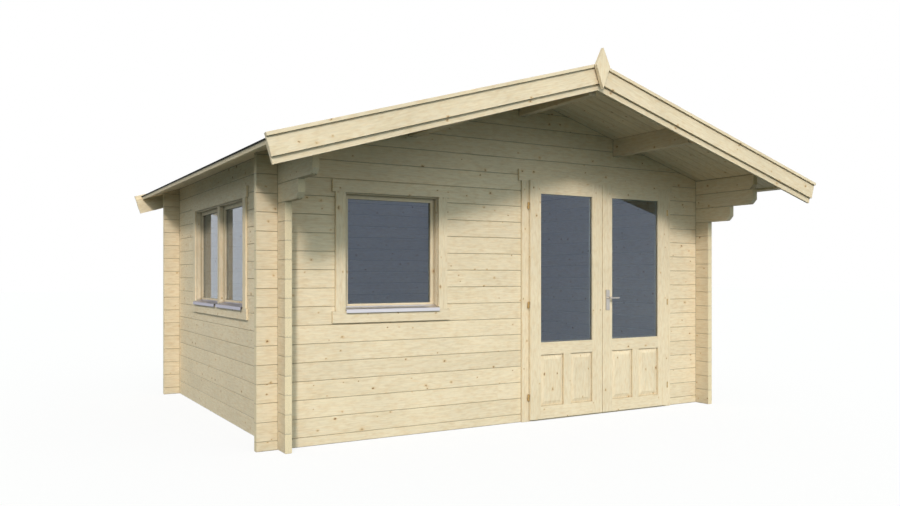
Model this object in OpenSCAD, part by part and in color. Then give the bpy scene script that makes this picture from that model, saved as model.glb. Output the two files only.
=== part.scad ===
// Log cabin garden house: interlocking tongued logs, low gable roof with a deep
// front canopy on stepped corbels, a half-glazed double door and two windows.
// The front faces -Y. The origin is on the ground under the middle of the roof.

/* [Log walls] */
// Width over the outer faces of the side walls
wall_w = 4270; // [3800:10:5000]
// Depth over the outer faces of the front and back walls
wall_d = 3226; // [2900:2:4000]
// Height of the roof's underside at the outer face of the side walls
wall_h = 2149; // [2110:1:2155]
// Thickness of a wall log
log_t = 50; // [44:1:60]
// Height of one course of logs
log_h = 135; // [135:0.5:137]
// Reach of the log ends past the crossing wall
log_end = 155; // [100:5:200]
// Chamfer along the long edges of a log
log_chamfer = 4; // [2:0.5:6]
// Play between neighbouring logs
log_play = 0.4; // [0.2:0.1:0.8]
// Width of each of the two tongues on a log
tongue_w = 9; // [6:0.5:10]
// Height of the tongues
tongue_h = 8; // [5:0.5:12]
// Distance between the middles of the two tongues
tongue_pitch = 22; // [18:1:26]

/* [Corbels] */
// Courses of a side wall under its first corbel
stack_courses = 13; // [12:1:13]
// Reach of the lower corbel past the front wall
corbel_low = 413; // [300:1:500]
// Reach of the upper corbel past the front wall
corbel_high = 676; // [560:1:800]
// Cut at the lower corner of a corbel
corbel_cut = 42; // [20:1:60]

/* [Roof] */
// Slope of the roof in degrees
pitch = 16.3; // [14:0.1:18]
// Reach of the roof boards past the side walls, level
eaves_reach = 335; // [250:5:420]
// Reach of the barge capping past the front wall
front_reach = 991; // [900:1:1200]
// Reach of the barge capping past the back wall
back_reach = 226; // [226:1:400]
// Thickness of the roof boards
board_t = 19; // [16:1:28]
// Thickness of the roofing felt
felt_t = 4; // [3:0.5:6]
// Depth of the felt's fold over the eaves
felt_fold = 10; // [8:1:18]
// Thickness of the eaves battens
batten_t = 13; // [10:1:24]
// Width of the eaves battens
batten_w = 45; // [30:1:70]
// Width of a purlin
purlin_w = 70; // [50:1:90]
// Height of a side purlin at its middle
purlin_h = 144; // [120:1:170]
// Height of the ridge purlin
ridge_h = 184; // [150:1:200]
// Distance of the purlins' ends behind the barge backing
purlin_set = 40; // [1:1:80]
// Distance of the side purlins from the ridge
purlin_x = 1050; // [800:10:1300]

/* [Barge boards] */
// Height of the main barge board
barge_h = 141; // [120:1:160]
// Height of the backing board behind it
backing_h = 140; // [120:1:160]
// Part of the backing board that shows below the main board
backing_lip = 45; // [25:1:60]
// Thickness of the barge and backing boards
barge_t = 20; // [16:1:25]
// Height of the capping slat
capping_h = 22; // [16:1:35]
// Thickness of the capping slat
capping_t = 16; // [12:1:24]
// Height of the capping slat's top over the underside of the roof boards
capping_top = 40; // [36:1:50]
// Reach of the barge boards past the roof boards, along the slope
barge_end = 60; // [30:1:110]
// Width of the diamond finial
finial_w = 130; // [100:1:180]
// Height of the finial's lower half
finial_low = 168; // [120:1:200]
// Height of the finial's upper half
finial_high = 134; // [100:1:200]
// Thickness of the finial
finial_t = 28; // [20:1:36]

/* [Windows] */
// Width of the front window between its casing boards
front_window_w = 797; // [650:1:900]
// Distance of the front window's middle from the ridge line, to the left
front_window_x = 1223; // [1000:1:1350]
// Width of the left window between its casing boards
left_window_w = 1600; // [1200:1:2000]
// Height of the windows between their casing boards
window_h = 885; // [800:1:900]
// Distance of the windows' middle under the roof's underside at the side walls
window_drop = 731.5; // [719:0.5:744]
// Cover of the casing over the window frame
frame_cover = 30; // [20:1:36]
// Width of the frame that shows inside the casing
frame_show = 11; // [8:1:20]
// Depth of a window frame, through the wall and into the room
window_depth = 84; // [84:1:100]
// Width of a sash's stiles and its top rail
sash_w = 32; // [28:1:50]
// Height of a sash's bottom rail
sash_foot = 40; // [34:1:60]
// Thickness of a sash
sash_t = 40; // [34:1:41]
// Depth of the sash behind the outer face of the wall
sash_back = 42; // [30:1:43]
// Width of the post between two sashes
post_w = 60; // [40:1:90]
// Width of a side casing board
casing_w = 78; // [60:1:100]
// Height of the top and bottom casing boards
casing_h = 87; // [70:1:110]
// Reach of the top and bottom boards past the side boards
casing_ear = 24; // [0:1:40]
// Thickness of the casing boards
casing_t = 18; // [14:1:20]
// Thickness of the glass
glass_t = 6; // [4:1:8]
// Reach of the drip rail past the casing boards
drip_reach = 17; // [8:1:30]
// Height of the drip rail's front lip
drip_lip = 26; // [15:1:36]
// Height of the drip rail's upstand against the sash
drip_up = 23; // [22:1:28]
// Fall of the drip rail from the sash to its front edge
drip_fall = 17; // [8:1:17]
// Thickness of the drip rail's sheet
drip_t = 3; // [2:0.5:4]

/* [Door] */
// Distance of the door's middle from the ridge line, to the right
door_x = 852; // [800:1:950]
// Width over both leaves
leaves_w = 1595; // [1400:1:1700]
// Distance of the leaves' top under the roof's underside at the side walls
leaf_drop = 99; // [97:1:119]
// Height of the bottom of the leaves
leaf_foot = 15; // [10:1:30]
// Thickness of a leaf
leaf_t = 45; // [40:1:50]
// Thickness of the lip that closes over the frame
lip_t = 18; // [14:1:22]
// Cover of the lip over the side casings
lip_cover = 21; // [16:1:30]
// Cover of the lip over the top casing
lip_top_cover = 9; // [6:1:20]
// Running gap round a leaf
leaf_gap = 6; // [5:0.5:7]
// Gap between the two leaves
meeting_gap = 7; // [6.5:0.5:10]
// Width of the leaf's stiles and its top rail
stile_w = 112; // [100:1:130]
// Height of the rail between the glass and the panels
mid_rail_h = 106; // [80:1:140]
// Height of the bottom rail
foot_rail_h = 106; // [100:1:140]
// Height of the panels
panel_h = 441; // [350:1:520]
// Width of the muntin between the two panels
muntin_w = 77; // [50:1:100]
// Width of the bevel round a panel's field
panel_bevel = 42; // [20:1:60]
// Thickness of a panel at its edge
panel_edge_t = 12; // [8:1:16]
// Rise of the panel's field over its edge
panel_rise = 12; // [5:0.5:13]
// Depth of the glass and the panels' edges behind the leaf's outer face
pane_back = 16; // [14:1:18]
// Depth of the grooves that hold the panels and the panes
groove_d = 7; // [4:1:10]
// Thickness of the glazing beads behind the door's glass
bead_t = 14; // [10:1:20]
// Width of a door casing board
door_casing_w = 90; // [75:1:110]
// Height of the door's top casing board
door_casing_h = 98; // [80:1:120]
// Reach of the top casing board past the side boards
door_casing_ear = 31; // [0:1:40]
// Width of a jamb behind the casing
jamb_w = 40; // [36:1:60]
// Reach of the jamb's stop behind the leaf
stop_w = 15; // [10:1:25]
// Depth of the door frame
door_frame_d = 70; // [65:1:90]
// Height of the threshold
threshold_h = 70; // [65:1:75]

/* [Door furniture] */
// Diameter of a hinge knuckle
knuckle_d = 16; // [14:1:18]
// Height of a whole hinge
knuckle_h = 56; // [50:1:100]
// Diameter of the hinge pin
pin_d = 7; // [5:0.5:8]
// Radial play of the pin in its knuckle
pin_play = 0.05; // [0.05:0.05:0.2]
// Distance of the hinge axis from the leaf's edge
hinge_out = 13; // [12:1:15]
// Height of the middle of the lowest hinge
hinge_low = 205; // [150:1:300]
// Height of the middle of the middle hinge
hinge_mid = 990; // [800:1:1100]
// Distance of the top hinge's middle under the top of the leaf
hinge_drop = 218; // [150:1:300]
// Width of a handle plate
plate_w = 40; // [30:1:50]
// Height of a handle plate
plate_h = 178; // [178:1:260]
// Thickness of a handle plate
plate_t = 8; // [4:1:10]
// Height of the lever's axis
lever_z = 1040; // [950:1:1100]
// Height of the lever's axis over the middle of the plate
lever_over_plate = 21; // [0:1:40]
// Length of the lever from its axis
lever_l = 94; // [80:1:140]
// Diameter of the lever's grip
lever_d = 18; // [14:1:20]
// Distance of the grip's middle from the plate
lever_out = 38; // [36:1:60]
// Diameter of the spindle through the leaf
spindle_d = 9; // [8:0.5:10]
// Distance of the lock cylinder under the lever's axis
lock_drop = 72; // [60:1:92]
// Diameter of the lock cylinder
lock_d = 17; // [15:1:20]

/* [Floor] */
// Height of the floor joists
joist_h = 45; // [35:1:46]
// Width of a floor joist
joist_w = 60; // [45:1:80]
// Number of floor joists
joist_n = 7; // [5:1:9]
// Thickness of the floor boards
floor_t = 19; // [16:1:20]

/* [Hidden] */

// Colours of the untreated spruce, the felt, the glass and the metal
spruce = [0.89, 0.81, 0.66];
spruce_shade = [0.84, 0.75, 0.59];
bitumen = [0.16, 0.16, 0.16];
pane = [0.45, 0.52, 0.58, 0.5];
metal = [0.72, 0.72, 0.76];
yellow_metal = [0.78, 0.6, 0.3];

// Clearance of faces that seat on each other
seat = 0.3;
// A length that reaches past the part, for cuts
far = 4 * (wall_w + wall_d);
$fn = 48;

// Plan: faces of the walls
side_x = wall_w / 2;
roof_l = front_reach + wall_d + back_reach;
front_y = -roof_l / 2 + front_reach;
back_y = front_y + wall_d;
front_mid = front_y + log_t / 2;
back_mid = back_y - log_t / 2;
side_mid = side_x - log_t / 2;

// Roof: the underside of the boards passes through the ridge point
ridge_z = wall_h + side_x * tan(pitch);
eaves_x = side_x + eaves_reach;
board_s = eaves_x / cos(pitch);
barge_s = board_s + barge_end;
boards_y0 = front_y - front_reach + capping_t + 2 * barge_t;
boards_y1 = back_y + back_reach - capping_t - 2 * barge_t;
felt_n = board_t + seat;
barge_top = capping_top - 2;
barge_low = barge_top - barge_h;
backing_low = barge_low - backing_lip;
function under(x) = ridge_z - abs(x) * tan(pitch);
// Point at s along the right-hand slope from the ridge and n over the boards' underside
function on_slope(s, n) = [s * cos(pitch) + n * sin(pitch), ridge_z - s * sin(pitch) + n * cos(pitch)];
// Distance along the slope at which a line at height n meets the plane x
function slope_at(x, n) = (x - n * sin(pitch)) / cos(pitch);

// Courses: the front and back walls start with a half log
quarter = log_h / 4;
function cross_z0(i) = max(0, (i - 0.5) * log_h);
function cross_z1(i) = (i + 0.5) * log_h;
// Least height of a top log, as a share of a course
least_log = 0.05;
gable_courses = ceil(under(purlin_w / 2 + log_play) / log_h - 0.5 - least_log);
side_courses = ceil(under(side_mid) / log_h - least_log);
// Reach of a side log past the front wall, by course
function side_reach(j) =
    j < stack_courses ? log_end : j == stack_courses ? corbel_low : corbel_high;

// Windows: the hole in the logs, and the frame in it
hole_h = window_h + 2 * frame_cover;
window_z = wall_h - window_drop;
hole_z0 = window_z - hole_h / 2;
function hole_w(w) = w + 2 * frame_cover;
sash_h = window_h - 2 * frame_show;
window_mid_y = front_y + wall_d / 2;

// Door: all heights and widths follow the lip of the leaves
door_inner_w = leaves_w - 2 * lip_cover;
leaf_top = wall_h - leaf_drop;
door_inner_top = leaf_top - lip_top_cover;
door_hole_w = door_inner_w + 2 * jamb_w + 2 * seat;
head_course = ceil((door_inner_top + jamb_w) / log_h + 0.5);
door_hole_top = (head_course - 0.5) * log_h;
wall_courses = head_course - 1;
leaf_w = (leaves_w - meeting_gap) / 2;
leaf_h = leaf_top - leaf_foot;
lip_gap = leaf_gap - 1;
lip_y0 = front_y - casing_t - lip_gap - lip_t;
lip_y1 = lip_y0 + lip_t;
leaf_y1 = lip_y0 + leaf_t;
hinge_y = (lip_y0 + lip_y1) / 2;
hinge_x = leaves_w / 2 + hinge_out;
hinge_z = [hinge_low, hinge_mid, leaf_top - hinge_drop];
pane_w = leaf_w - 2 * stile_w;
panels_z0 = leaf_foot + foot_rail_h;
panels_z1 = panels_z0 + panel_h;
glass_z0 = panels_z1 + mid_rail_h;
glass_z1 = leaf_top - stile_w;
panel_w = (pane_w - muntin_w) / 2;
pane_y = lip_y0 + pane_back;
lever_x = door_x + meeting_gap / 2 + stile_w / 2;
plate_z = lever_z - lever_over_plate;

// Box from its two corners
module box(a, b) translate(a) cube(b - a);

// Extrusion of a shape drawn in X and Z, from y0 to y1
module along_y(y0, y1) translate([0, y1, 0]) rotate([90, 0, 0]) linear_extrude(y1 - y0) children();

// Extrusion of a shape drawn in Y and Z, from x0 to x1
module along_x(x0, x1) translate([x0, 0, 0]) rotate([90, 0, 90]) linear_extrude(x1 - x0) children();

// The space under the roof boards
module under_roof() {
    reach = eaves_x + barge_end;
    along_y(front_y - front_reach, back_y + back_reach)
        polygon([
            [-reach, -1], [-reach, under(reach) - seat], [0, ridge_z - seat],
            [reach, under(reach) - seat], [reach, -1],
        ]);
}

// Section of a log about its middle line: chamfered, with two tongues over two grooves
module log_section(z0, z1, grooved) {
    half = log_t / 2;
    top = z1 - log_play;
    c = log_chamfer;
    difference() {
        union() {
            polygon([
                [-half, z0 + c], [c - half, z0], [half - c, z0], [half, z0 + c],
                [half, top - c], [half - c, top], [c - half, top], [-half, top - c],
            ]);
            for (side = [-1, 1])
                translate([side * tongue_pitch / 2 - tongue_w / 2, top - 1])
                    square([tongue_w, tongue_h + 1]);
        }
        if (grooved)
            for (side = [-1, 1])
                translate([side * tongue_pitch / 2 - tongue_w / 2 - log_play, z0 - 1])
                    square([tongue_w + 2 * log_play, tongue_h + 1 + log_play]);
    }
}

// Notches of a log that crosses walls: a quarter of the course off its top and its bottom
module notches(positions, z0, z1) {
    depth = quarter + log_play / 2;
    half = log_t / 2 + log_play;
    for (p = positions) {
        if (z0 > 0 || z1 - z0 > log_h * 0.75)
            box([p - half, -log_t, z0 - 1], [p + half, log_t, z0 + depth]);
        box([p - half, -log_t, z1 - depth], [p + half, log_t, z1 + tongue_h + 1]);
    }
}

// Log of the front or the back wall, course i, about the middle plane y = 0
module cross_log(i) {
    z0 = cross_z0(i);
    z1 = cross_z1(i);
    end = side_x + log_end;
    difference() {
        along_x(-end, end) log_section(z0, z1, i > 0);
        notches([-side_mid, side_mid], z0, z1);
    }
}

// Course i of a front or back wall, cut to the roof and the purlins
module cross_course(y, i) {
    if (cross_z1(i) + tongue_h < under(side_x + log_end))
        translate([0, y, 0]) cross_log(i);
    else
        difference() {
            intersection() {
                translate([0, y, 0]) cross_log(i);
                under_roof();
            }
            purlin_pockets();
        }
}

// Log of the left wall, course j
module side_log(j) {
    z0 = j * log_h;
    z1 = z0 + log_h;
    y0 = front_y - side_reach(j);
    cut = corbel_cut;
    difference() {
        translate([-side_mid, 0, 0]) rotate([0, 0, 90]) difference() {
            along_x(y0, back_y + log_end) log_section(z0, z1, j > 0);
            notches([front_mid, back_mid], z0, z1);
        }
        if (j >= stack_courses)
            along_x(-far, 0)
                polygon([[y0 - 1, z0 - 1], [y0 + cut + 1, z0 - 1], [y0 - 1, z0 + cut + 1]]);
    }
}

// Course j of the left wall, cut to the roof
module side_course(j) {
    if ((j + 1) * log_h + tongue_h < under(side_x))
        side_log(j);
    else
        intersection() {
            side_log(j);
            under_roof();
        }
}

// Top of a window's cut in a log that ends at z1: a log under the hole's top loses its tongues too
function cut_top(z1) = z1 < hole_z0 + hole_h + 1 ? z1 + tongue_h + 1 : hole_z0 + hole_h;

// Cut for the front window in a log of the front wall that ends at z1
module front_window_cut(z1) {
    w = hole_w(front_window_w);
    if (z1 + tongue_h > hole_z0)
        box([-front_window_x - w / 2, front_y - log_t, hole_z0],
            [-front_window_x + w / 2, front_y + 2 * log_t, cut_top(z1)]);
}

// Cut for the left window in a log of the left wall that ends at z1
module left_window_cut(z1) {
    w = hole_w(left_window_w);
    if (z1 + tongue_h > hole_z0)
        box([-side_x - log_t, window_mid_y - w / 2, hole_z0],
            [-side_x + 2 * log_t, window_mid_y + w / 2, cut_top(z1)]);
}

module doorway() {
    box([door_x - door_hole_w / 2, front_y - log_t, -1],
        [door_x + door_hole_w / 2, front_y + 2 * log_t, door_hole_top + tongue_h + 1]);
}

module front_wall() {
    color(spruce) for (i = [0:wall_courses])
        difference() {
            cross_course(front_mid, i);
            front_window_cut(cross_z1(i));
            doorway();
        }
}

module back_wall() color(spruce) for (i = [0:wall_courses]) cross_course(back_mid, i);

// Courses over the door's head, up to the ridge
module gable(y) color(spruce) for (i = [wall_courses + 1:gable_courses]) cross_course(y, i);

module left_wall() {
    color(spruce) for (j = [0:side_courses - 1])
        difference() {
            side_course(j);
            left_window_cut((j + 1) * log_h);
        }
}

module right_wall() color(spruce) mirror([1, 0, 0]) for (j = [0:side_courses - 1]) side_course(j);

// Section of the purlin at distance x from the ridge, grown by a play
module purlin_section(x, grow) {
    z0 = under(x) - (x == 0 ? ridge_h : purlin_h);
    half = purlin_w / 2;
    polygon([
        [x - half - grow, z0 - grow], [x + half + grow, z0 - grow],
        [x + half + grow, under(x + half) - seat + far * sign(grow)],
        [x, under(x) - seat + far * sign(grow)],
        [x - half - grow, under(x - half) - seat + far * sign(grow)],
    ]);
}

module purlin_pockets() {
    for (x = [-purlin_x, 0, purlin_x])
        along_y(front_y - log_t, back_y + log_t) purlin_section(x, log_play);
}

module purlin(x)
    color(spruce_shade) along_y(boards_y0 + purlin_set, boards_y1 - purlin_set) purlin_section(x, 0);

// Sheet on the right-hand slope between two heights over the boards' underside
module slope_sheet(n0, n1, s_end, y0, y1) {
    along_y(y0, y1)
        polygon([
            on_slope(slope_at(seat, n0), n0), on_slope(s_end, n0),
            on_slope(s_end, n1), on_slope(slope_at(seat, n1), n1),
        ]);
}

// Runs its children on the right-hand slope and mirrored on the left-hand one
module both_slopes() {
    children();
    mirror([1, 0, 0]) children();
}

module roof_boards() color(spruce_shade) slope_sheet(0, board_t, board_s, boards_y0, boards_y1);

// Felt on one slope, folded down over the eaves
module felt_sheet() {
    s = board_s + seat;
    top = felt_n + felt_t;
    along_y(boards_y0, boards_y1)
        polygon([
            on_slope(slope_at(seat, felt_n), felt_n), on_slope(s, felt_n),
            on_slope(s, top - felt_fold), on_slope(s + felt_t, top - felt_fold),
            on_slope(s + felt_t, top), on_slope(slope_at(seat, top), top),
        ]);
}

module roof_felt() color(bitumen) both_slopes() felt_sheet();

module eaves_battens() {
    color(spruce) both_slopes()
        along_y(boards_y0, boards_y1)
            polygon([
                on_slope(board_s - batten_w, -seat), on_slope(board_s, -seat),
                on_slope(board_s, -seat - batten_t), on_slope(board_s - batten_w, -seat - batten_t),
            ]);
}

// Pieces of a barge; depth is measured outwards from the ends of the roof boards
module barge_sheets(n0, n1, d0, d1, front) {
    y0 = front ? boards_y0 - d1 : boards_y1 + d0;
    both_slopes() slope_sheet(n0, n1, barge_s, y0, y0 + d1 - d0);
}

module barge_backing(front)
    color(spruce_shade)
        barge_sheets(backing_low, backing_low + backing_h, seat, barge_t, front);

module barge_boards(front)
    color(spruce)
        barge_sheets(barge_low, barge_top, barge_t + seat, 2 * barge_t, front);

// Slats along the top of the barge boards, which meet at the ridge
module barge_capping(front)
    color(spruce)
        barge_sheets(capping_top - capping_h, capping_top,
            2 * barge_t + seat, 2 * barge_t + capping_t, front);

// Diamond in front of the joint of the capping slats
module finial(front) {
    depth = 2 * barge_t + capping_t + seat;
    y0 = front ? boards_y0 - depth - finial_t : boards_y1 + depth;
    mid = ridge_z + backing_low / cos(pitch) + finial_low;
    half = finial_w / 2;
    color(spruce) along_y(y0, y0 + finial_t)
        polygon([[0, mid - finial_low], [half, mid], [0, mid + finial_high], [-half, mid]]);
}

module floor_joists() {
    inner = wall_w - 2 * log_t - 2 * seat;
    step = (inner - joist_w) / (joist_n - 1);
    color(spruce_shade) for (k = [0:joist_n - 1])
        translate([-inner / 2 + k * step, front_y + door_frame_d + seat, 0])
            cube([joist_w, wall_d - log_t - door_frame_d - 2 * seat, joist_h]);
}

module floor_boards() {
    inner = side_x - log_t - seat;
    color(spruce) box([-inner, front_y + door_frame_d + seat, joist_h + seat],
        [inner, back_y - log_t - seat, joist_h + seat + floor_t]);
}

// Window parts, drawn about the middle of a window with the wall's outer face at y = 0
module ring(w, h, bar, y0, y1) {
    difference() {
        box([-w / 2, y0, -h / 2], [w / 2, y1, h / 2]);
        box([bar - w / 2, y0 - 1, bar - h / 2], [w / 2 - bar, y1 + 1, h / 2 - bar]);
    }
}

// Middles and width of the sashes of a window w wide
function sash_width(w, n) = (w - 2 * frame_show - (n - 1) * post_w) / n - 2 * seat;
function sash_x(w, n, k) = (k - (n - 1) / 2) * (sash_width(w, n) + 2 * seat + post_w);

module window_frame(w, n) {
    color(spruce) {
        ring(hole_w(w) - 2 * seat, hole_h - 2 * seat, frame_cover + frame_show - seat, 0, window_depth);
        if (n > 1) box([-post_w / 2, 0, -sash_h / 2 - 1], [post_w / 2, window_depth, sash_h / 2 + 1]);
    }
}

// Middle height and half height of the opening in a sash
sash_hole_z = (sash_foot - sash_w) / 2;
sash_hole_h = sash_h / 2 - seat - (sash_foot + sash_w) / 2;

module window_sashes(w, n) {
    sw = sash_width(w, n) / 2;
    sh = sash_h / 2 - seat;
    y0 = sash_back + (sash_t - glass_t) / 2 - seat;
    color(spruce) for (k = [0:n - 1])
        translate([sash_x(w, n, k), 0, 0]) difference() {
            box([-sw, sash_back, -sh], [sw, sash_back + sash_t, sh]);
            translate([0, 0, sash_hole_z]) {
                box([sash_w - sw, 0, -sash_hole_h], [sw - sash_w, 2 * window_depth, sash_hole_h]);
                box([sash_w - sw - groove_d, y0, -sash_hole_h - groove_d],
                    [sw - sash_w + groove_d, y0 + glass_t + 2 * seat, sash_hole_h + groove_d]);
            }
        }
}

module window_glass(w, n) {
    gw = sash_width(w, n) / 2 - sash_w + groove_d - seat;
    gh = sash_hole_h + groove_d - seat;
    y0 = sash_back + (sash_t - glass_t) / 2;
    color(pane) for (k = [0:n - 1])
        translate([sash_x(w, n, k), 0, sash_hole_z])
            box([-gw, y0, -gh], [gw, y0 + glass_t, gh]);
}

// Four boards: the top and bottom ones run past the side ones
module window_casing(w) {
    long = w / 2 + casing_w + casing_ear;
    color(spruce) {
        for (side = [-1, 1]) {
            translate([side * (w + casing_w) / 2, 0, 0])
                box([-casing_w / 2, -casing_t, seat - window_h / 2],
                    [casing_w / 2, -seat, window_h / 2 - seat]);
            translate([0, 0, side * (window_h + casing_h) / 2])
                box([-long, -casing_t, -casing_h / 2], [long, -seat, casing_h / 2]);
        }
    }
}

// Section of a drip rail: an upstand at the sash, a sheet with a fall, and a lip in front of the casing
module drip_section() {
    back = sash_back - seat;
    front = -casing_t - drip_reach;
    edge = drip_up - 4 - drip_fall;
    polygon([
        [back, seat], [back, drip_up], [back - drip_t, drip_up], [back - drip_t, edge + drip_fall],
        [front, edge], [front, edge - drip_lip], [front + drip_t, edge - drip_lip], [front + drip_t, seat],
    ]);
}

// Folded aluminium rails that shed water over the bottom casing board, wider in front of the frame
module drip_rails(w, n) {
    half = sash_width(w, n) / 2;
    color(metal) translate([0, 0, frame_show - window_h / 2]) for (k = [0:n - 1]) {
        x0 = sash_x(w, n, k) - half;
        x1 = sash_x(w, n, k) + half;
        wide_x0 = k == 0 ? seat - w / 2 : x0;
        wide_x1 = k == n - 1 ? w / 2 - seat : x1;
        difference() {
            along_x(wide_x0, wide_x1) drip_section();
            if (wide_x0 < x0) box([wide_x0 - 1, -seat, -1], [x0, sash_back, drip_up + 1]);
            if (wide_x1 > x1) box([x1, -seat, -1], [wide_x1 + 1, sash_back, drip_up + 1]);
        }
    }
}

module at_front_window() translate([-front_window_x, front_y, window_z]) children();

module at_left_window() translate([-side_x, window_mid_y, window_z]) rotate([0, 0, -90]) children();

// Door frame: jambs and head, each with a stop behind the leaf
module door_frame() {
    half = door_inner_w / 2 + jamb_w;
    inner = door_inner_w / 2;
    stop_y = leaf_y1 - front_y + lip_gap;
    color(spruce) translate([door_x, front_y, 0]) {
        for (side = [0, 1])
            mirror([side, 0, 0]) {
                box([inner, 0, 0], [half, door_frame_d, door_inner_top - seat]);
                box([inner - stop_w, stop_y, 0], [inner + 1, door_frame_d, door_inner_top - seat]);
            }
        box([-half, 0, door_inner_top], [half, door_frame_d, door_hole_top - seat]);
        box([stop_w + seat - inner, stop_y, door_inner_top - stop_w],
            [inner - stop_w - seat, door_frame_d, door_inner_top + 1]);
    }
}

module door_threshold() {
    half = door_inner_w / 2 - stop_w - seat;
    color(spruce_shade) box([door_x - half, front_y - casing_t, 0],
        [door_x + half, front_y + door_frame_d, threshold_h]);
}

module door_casing() {
    half = door_inner_w / 2;
    long = half + door_casing_w + door_casing_ear;
    color(spruce) translate([door_x, front_y, 0]) {
        for (side = [0, 1])
            mirror([side, 0, 0])
                box([half, -casing_t, 0], [half + door_casing_w, -seat, door_inner_top - seat]);
        box([-long, -casing_t, door_inner_top], [long, -seat, door_inner_top + door_casing_h]);
    }
}

// Left leaf: lip over the frame, body in it, and the openings for glass and panels
module leaf() {
    x0 = door_x - leaves_w / 2;
    x1 = x0 + leaf_w;
    inset = lip_cover + leaf_gap;
    difference() {
        union() {
            box([x0, lip_y0, leaf_foot], [x1, lip_y1, leaf_top]);
            box([x0 + inset, lip_y1 - 1, threshold_h + leaf_gap],
                [x1, leaf_y1, door_inner_top - leaf_gap]);
        }
        box([x0 + stile_w, lip_y0 - 1, glass_z0], [x1 - stile_w, leaf_y1 + 1, glass_z1]);
        box([x0 + stile_w - groove_d, pane_y, glass_z0 - groove_d],
            [x1 - stile_w + groove_d, leaf_y1 + 1, glass_z1 + groove_d]);
        for (x = [x0 + stile_w, x1 - stile_w - panel_w]) {
            box([x, lip_y0 - 1, panels_z0], [x + panel_w, leaf_y1 + 1, panels_z1]);
            box([x - groove_d, pane_y, panels_z0 - groove_d],
                [x + panel_w + groove_d, pane_y + panel_edge_t, panels_z1 + groove_d]);
        }
    }
    glazing_beads(x0 + stile_w - groove_d + seat, x1 - stile_w + groove_d - seat);
}

// Beads that press the glass against the leaf's rebate, mitred into one ring
module glazing_beads(x0, x1) {
    z0 = glass_z0 - groove_d + seat;
    z1 = glass_z1 + groove_d - seat;
    y0 = pane_y + glass_t + 2 * seat;
    difference() {
        box([x0, y0, z0], [x1, leaf_y1, z1]);
        box([x0 + bead_t, y0 - 1, z0 + bead_t], [x1 - bead_t, leaf_y1 + 1, z1 - bead_t]);
    }
}

// Raised and fielded panel, bevelled on both sides
module panel(x) {
    w = panel_w / 2 + groove_d - seat;
    h = panel_h / 2 + groove_d - seat;
    e = panel_edge_t / 2 - seat;
    f = e + panel_rise;
    b = panel_bevel + groove_d;
    edge = groove_d + 1;
    translate([x + panel_w / 2, pane_y + panel_edge_t / 2, (panels_z0 + panels_z1) / 2]) intersection() {
        linear_extrude(2 * h, center = true)
            polygon([
                [-w, -e], [edge - w, -e], [b - w, -f], [w - b, -f], [w - edge, -e], [w, -e],
                [w, e], [w - edge, e], [w - b, f], [b - w, f], [edge - w, e], [-w, e],
            ]);
        along_x(-w, w)
            polygon([
                [-e, -h], [-e, edge - h], [-f, b - h], [-f, h - b], [-e, h - edge], [-e, h],
                [e, h], [e, h - edge], [f, h - b], [f, b - h], [e, edge - h], [e, -h],
            ]);
    }
}

module left_panels() {
    x0 = door_x - leaves_w / 2 + stile_w;
    for (x = [x0, x0 + panel_w + muntin_w]) panel(x);
}

module left_glass() {
    x0 = door_x - leaves_w / 2 + stile_w - groove_d + seat;
    box([x0, pane_y + seat, glass_z0 - groove_d + seat],
        [x0 + pane_w + 2 * (groove_d - seat), pane_y + seat + glass_t, glass_z1 + groove_d - seat]);
}

// Runs its children about the door's middle plane, on the left or mirrored on the right
module hand(right) {
    if (right) translate([2 * door_x, 0, 0]) mirror([1, 0, 0]) children();
    else children();
}

// Upper knuckle of each hinge, with the strap that holds it to the leaf's edge
module leaf_hinges() {
    half = knuckle_h / 2;
    color(yellow_metal) for (z = hinge_z)
        translate([door_x - hinge_x, hinge_y, z]) difference() {
            union() {
                translate([0, 0, 1]) cylinder(d = knuckle_d, h = half - 1);
                box([0, -lip_t / 6, 6], [hinge_out - seat, lip_t / 6, half - 4]);
            }
            translate([0, 0, -1]) cylinder(d = pin_d + 2 * pin_play, h = half - 4);
        }
}

// Lower knuckle of each hinge with its pin, and the strap that holds it to the casing
module frame_hinges() {
    half = knuckle_h / 2;
    to_casing = front_y - casing_t - hinge_y - seat;
    for (z = hinge_z)
        translate([door_x - hinge_x, hinge_y, z]) {
            translate([0, 0, -half]) cylinder(d = knuckle_d, h = half - 1);
            translate([0, 0, -half]) cylinder(d = pin_d, h = 2 * half - 8);
            box([-lip_t / 6, 0, 4 - half], [lip_t / 6, to_casing, -6]);
        }
}

module door_hinge_pins() {
    color(yellow_metal) {
        hand(false) frame_hinges();
        hand(true) frame_hinges();
    }
}

// Bore for the spindle, through the leaf and the plates
module spindle_bore()
    translate([lever_x, lip_y0 - far / 2, lever_z])
        rotate([-90, 0, 0]) cylinder(d = spindle_d + 2, h = far);

module left_door_leaf() color(spruce) leaf();

module right_door_leaf() {
    color(spruce) difference() {
        hand(true) leaf();
        spindle_bore();
    }
}

// Long plates on both sides of the right leaf, with the ends of the lock cylinder
module door_handle_plates() {
    color(metal) for (y = [lip_y0 - seat - plate_t - 2, leaf_y1 + seat])
        translate([lever_x, y, lever_z - lock_drop])
            rotate([-90, 0, 0]) cylinder(d = lock_d, h = plate_t + 2);
    color(metal) difference() {
        for (y = [lip_y0 - seat - plate_t, leaf_y1 + seat])
            box([lever_x - plate_w / 2, y, plate_z - plate_h / 2],
                [lever_x + plate_w / 2, y + plate_t, plate_z + plate_h / 2]);
        spindle_bore();
    }
}

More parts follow.
